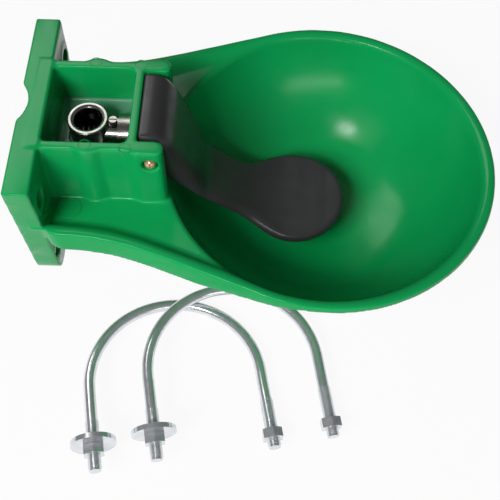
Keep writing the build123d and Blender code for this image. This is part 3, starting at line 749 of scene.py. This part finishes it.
def make_details():
    """Threads on the U-bolts and round marks on the moulding."""
    for label, place, lift in (
        ("left", left_u_bolt_place, 0.0),
        ("right", right_u_bolt_place, overlap_lift),
    ):
        directions = u_bolt_directions(place, lift)
        for word, side in (("a", -1), ("b", 1)):
            make_thread(f"{label}_u_bolt_thread_{word}", directions, side)
    for number, spot in enumerate(ejector_places):
        centre = (*spot, flange_half_height - ejector_sunk)
        ring_mark(f"ejector_ring_{number}", centre, ejector_radius, ejector_line)
    ring_mark("ledge_ring", ledge_mark_place, ledge_mark_radius, ledge_mark_line)


def new_material(name):
    """A new node material, its tree and its shader."""
    material = bpy.data.materials.new(name)
    material.use_nodes = True
    tree = material.node_tree
    shader = tree.nodes["Principled BSDF"]
    return material, tree, shader


def add_node(tree, kind, **values):
    """A node, its properties and its inputs set by name."""
    node = tree.nodes.new(kind)
    for key, value in values.items():
        if hasattr(node, key):
            setattr(node, key, value)
        else:
            node.inputs[key.replace("_", " ")].default_value = value
    return node


def noise(tree, scale, detail=3.0, roughness=0.5):
    """Noise in the object's own coordinates."""
    place = add_node(tree, "ShaderNodeTexCoord")
    node = add_node(tree, "ShaderNodeTexNoise", Scale=scale, Detail=detail, Roughness=roughness)
    tree.links.new(place.outputs["Object"], node.inputs["Vector"])
    return node.outputs["Fac"]


def ramp(tree, fac, stops):
    """A colour ramp over a factor."""
    node = add_node(tree, "ShaderNodeValToRGB")
    tree.links.new(fac, node.inputs["Fac"])
    for element, (place, colour) in zip(node.color_ramp.elements, stops):
        element.position = place
        element.color = colour
    return node.outputs["Color"]


def bump(tree, shader, height, strength, distance):
    """Bump from a height, added to what the shader already has."""
    node = add_node(tree, "ShaderNodeBump", Strength=strength, Distance=distance)
    tree.links.new(height, node.inputs["Height"])
    socket = shader.inputs["Normal"]
    if socket.links:
        tree.links.new(socket.links[0].from_socket, node.inputs["Normal"])
    tree.links.new(node.outputs["Normal"], socket)


def grey(value):
    """A neutral colour."""
    return (value, value, value, 1)


def near_point(tree, centre, scale, inner, outer):
    """1 near a point in the object's coordinates, 0 far from it. The scale picks directions."""
    place = add_node(tree, "ShaderNodeTexCoord")
    shift = add_node(tree, "ShaderNodeVectorMath", operation="SUBTRACT")
    shift.inputs[1].default_value = centre
    stretch = add_node(tree, "ShaderNodeVectorMath", operation="MULTIPLY")
    stretch.inputs[1].default_value = scale
    length = add_node(tree, "ShaderNodeVectorMath", operation="LENGTH")
    span = add_node(tree, "ShaderNodeMapRange")
    span.inputs["From Min"].default_value = outer
    span.inputs["From Max"].default_value = inner
    tree.links.new(place.outputs["Object"], shift.inputs[0])
    tree.links.new(shift.outputs[0], stretch.inputs[0])
    tree.links.new(stretch.outputs[0], length.inputs[0])
    tree.links.new(length.outputs["Value"], span.inputs["Value"])
    return span.outputs["Result"]


def tint(tree, colour, painted_light_mask, other):
    """A colour that turns to another where a mask is 1."""
    mix = add_node(tree, "ShaderNodeMix", data_type="RGBA")
    rgba = [socket for socket in mix.inputs if socket.type == "RGBA"]
    rgba[1].default_value = other
    tree.links.new(painted_light_mask, mix.inputs["Factor"])
    tree.links.new(colour, rgba[0])
    return [socket for socket in mix.outputs if socket.type == "RGBA"][0]


def make_green():
    """Moulded green plastic with faint flow marks, and a painted reflection: a paler, greyer patch on the
    shelf in the valve box.
    """
    material, tree, shader = new_material("green_plastic")
    tone = noise(tree, 14.0, 4.0)
    colour = ramp(tree, tone, [(0.3, (0.003, 0.285, 0.070, 1)), (0.7, (0.004, 0.32, 0.084, 1))])
    middle = (shelf_middle_x, 0.0, shelf_level)
    shelf_reflection = near_point(tree, middle, shelf_reflection_scale, *shelf_reflection_level_fade)
    across = near_point(tree, middle, (0.0, 1.0, 0.0), *shelf_reflection_across_fade)
    along = near_point(tree, middle, (1.0, 0.0, 0.0), *shelf_reflection_along_fade)
    for other in (across, along):
        both = add_node(tree, "ShaderNodeMath", operation="MULTIPLY")
        tree.links.new(shelf_reflection, both.inputs[0])
        tree.links.new(other, both.inputs[1])
        shelf_reflection = both.outputs[0]
    # Painted reflection: the shelf is tinted paler and greyer, standing in for a pale reflection at a
    # grazing angle
    colour = tint(tree, colour, shelf_reflection, (0.10, 0.30, 0.18, 1))
    tree.links.new(colour, shader.inputs["Base Color"])
    gloss = ramp(tree, noise(tree, 60.0, 5.0), [(0.35, grey(0.17)), (0.7, grey(0.27))])
    tree.links.new(gloss, shader.inputs["Roughness"])
    shader.inputs["Specular IOR Level"].default_value = 0.27
    bump(tree, shader, noise(tree, 30.0, 2.0), 0.03, 0.002)
    bump(tree, shader, noise(tree, 900.0, 3.0), 0.03, 0.0003)
    return material


def make_black():
    """Satin black moulding."""
    material, tree, shader = new_material("black_plastic")
    tone = noise(tree, 25.0, 4.0)
    colour = ramp(tree, tone, [(0.3, grey(0.028)), (0.7, grey(0.033))])
    tree.links.new(colour, shader.inputs["Base Color"])
    gloss = ramp(tree, noise(tree, 80.0, 5.0), [(0.3, grey(0.30)), (0.7, grey(0.42))])
    tree.links.new(gloss, shader.inputs["Roughness"])
    bump(tree, shader, noise(tree, 1200.0, 3.0), 0.05, 0.0003)
    return material


def make_metal(name, low, high, rough, grain=300.0, strength=0.04, shaded_bore=False, metallic=1.0):
    """Metal with uneven tone and roughness, with painted shade inside the inlet's bore where asked."""
    material, tree, shader = new_material(name)
    shader.inputs["Metallic"].default_value = metallic
    colour = ramp(tree, noise(tree, 120.0, 4.0), [(0.3, (*low, 1)), (0.7, (*high, 1))])
    if shaded_bore:
        # Painted shade: the inside of the inlet's bore is coloured nearly black, where shade falls in the
        # hole
        painted_light_mask = near_point(tree, (bore_x, 0.0, 0.0), (1.0, 1.0, 0.0), *bore_shade_fade)
        colour = tint(tree, colour, painted_light_mask, grey(0.03))
    tree.links.new(colour, shader.inputs["Base Color"])
    gloss = ramp(tree, noise(tree, 260.0, 5.0), [(0.3, grey(rough * 0.75)), (0.7, grey(rough * 1.3))])
    tree.links.new(gloss, shader.inputs["Roughness"])
    bump(tree, shader, noise(tree, grain, 4.0), strength, 0.0003)
    return material


def make_rubber():
    """Dull black rubber."""
    material, tree, shader = new_material("rubber")
    colour = ramp(tree, noise(tree, 90.0, 4.0), [(0.3, grey(0.012)), (0.7, grey(0.022))])
    tree.links.new(colour, shader.inputs["Base Color"])
    shader.inputs["Roughness"].default_value = 0.7
    bump(tree, shader, noise(tree, 700.0, 3.0), 0.1, 0.0003)
    return material


def dress():
    """Gives each node the material of its slot."""
    for part in frame["record"]["subparts"]:
        node = nodes[part["node"]]
        node.data.materials.clear()
        node.data.materials.append(materials[part["material_slot"]])


def make_floor():
    """Pale floor that shows nearly white to the camera and in reflections, with a faint shadow."""
    mesh = bpy.data.meshes.new("floor")
    sides = ((-1, -1), (1, -1), (1, 1), (-1, 1))
    corners = [(x * floor_size, y * floor_size, ground_z - floor_gap) for x, y in sides]
    mesh.from_pydata(corners, [], [(0, 1, 2, 3)])
    floor = bpy.data.objects.new("floor", mesh)
    bpy.context.scene.collection.objects.link(floor)
    material = bpy.data.materials.new("floor")
    material.use_nodes = True
    tree = material.node_tree
    tree.nodes.clear()
    pale = add_node(tree, "ShaderNodeBsdfDiffuse", Color=grey(0.62))
    white = add_node(tree, "ShaderNodeEmission", Color=grey(1.0), Strength=1.0)
    path = add_node(tree, "ShaderNodeLightPath")
    seen = add_node(tree, "ShaderNodeMath", operation="MAXIMUM")
    tree.links.new(path.outputs["Is Camera Ray"], seen.inputs[0])
    tree.links.new(path.outputs["Is Glossy Ray"], seen.inputs[1])
    seen_all = add_node(tree, "ShaderNodeMath", operation="MAXIMUM")
    tree.links.new(seen.outputs[0], seen_all.inputs[0])
    tree.links.new(path.outputs["Is Transmission Ray"], seen_all.inputs[1])
    share = add_node(tree, "ShaderNodeMath", operation="MULTIPLY")
    share.inputs[1].default_value = floor_white_share
    tree.links.new(seen_all.outputs[0], share.inputs[0])
    mix = add_node(tree, "ShaderNodeMixShader")
    tree.links.new(share.outputs[0], mix.inputs["Fac"])
    tree.links.new(pale.outputs[0], mix.inputs[1])
    tree.links.new(white.outputs[0], mix.inputs[2])
    out = add_node(tree, "ShaderNodeOutputMaterial")
    tree.links.new(mix.outputs[0], out.inputs["Surface"])
    mesh.materials.append(material)


def add_light(name, azimuth, elevation, distance, size, power):
    """A soft box that looks at the bowl from a direction, in degrees."""
    data = bpy.data.lights.new(name, "AREA")
    data.shape = "RECTANGLE"
    data.size, data.size_y = size
    data.energy = power
    light = bpy.data.objects.new(name, data)
    bpy.context.scene.collection.objects.link(light)
    a, e = radians(azimuth), radians(elevation)
    away = Vector((cos(a) * cos(e), sin(a) * cos(e), sin(e)))
    target = Vector((0.16, 0, 0))
    light.location = target + away * distance
    light.rotation_euler = away.to_track_quat("Z", "Y").to_euler()
    return light


def make_lights():
    """Soft boxes and an even dim room. One is only reflected, and one isn't reflected."""
    add_light("key", -113, 46, 1.9, (0.42, 0.22), 8)
    behind = add_light("behind", 127, 48, 1.7, (1.0, 0.75), 7)
    behind.visible_diffuse = False
    add_light("low", -80, 14, 1.6, (1.2, 0.25), 4)
    near = add_light("near", -130, 42, 1.8, (0.8, 0.8), 26)
    near.visible_glossy = False
    world = bpy.data.worlds.new("room")
    bpy.context.scene.world = world
    world.use_nodes = True
    back = world.node_tree.nodes["Background"]
    back.inputs["Color"].default_value = (0.95, 0.97, 1.0, 1)
    back.inputs["Strength"].default_value = 0.12


bpy.context.scene.view_settings.view_transform = "Standard"
make_camera()
make_floor()
make_lights()
materials = {
    "green_plastic": make_green(),
    "black_plastic": make_black(),
    # Plated brass, with painted shade inside the inlet's bore
    "plated_brass": make_metal("plated_brass", (0.26, 0.25, 0.23), (0.42, 0.41, 0.38), 0.24, shaded_bore=True),
    "brass": make_metal("brass", (0.60, 0.43, 0.16), (0.74, 0.56, 0.26), 0.3),
    "bronze_screw": make_metal("bronze_screw", (0.72, 0.42, 0.25), (0.92, 0.66, 0.46), 0.25, metallic=0.7),
    "zinc": make_metal("zinc", (0.70, 0.72, 0.75), (0.82, 0.84, 0.87), 0.2, 200.0, 0.02, metallic=0.82),
    "steel": make_metal("steel", (0.5, 0.5, 0.5), (0.62, 0.62, 0.62), 0.28),
    "rubber": make_rubber(),
}
dress()
bowl, paddle, screw = make_forms()
make_details()
bowl.data.materials.append(materials["green_plastic"])
paddle.data.materials.append(materials["black_plastic"])
screw.data.materials.append(materials["bronze_screw"])
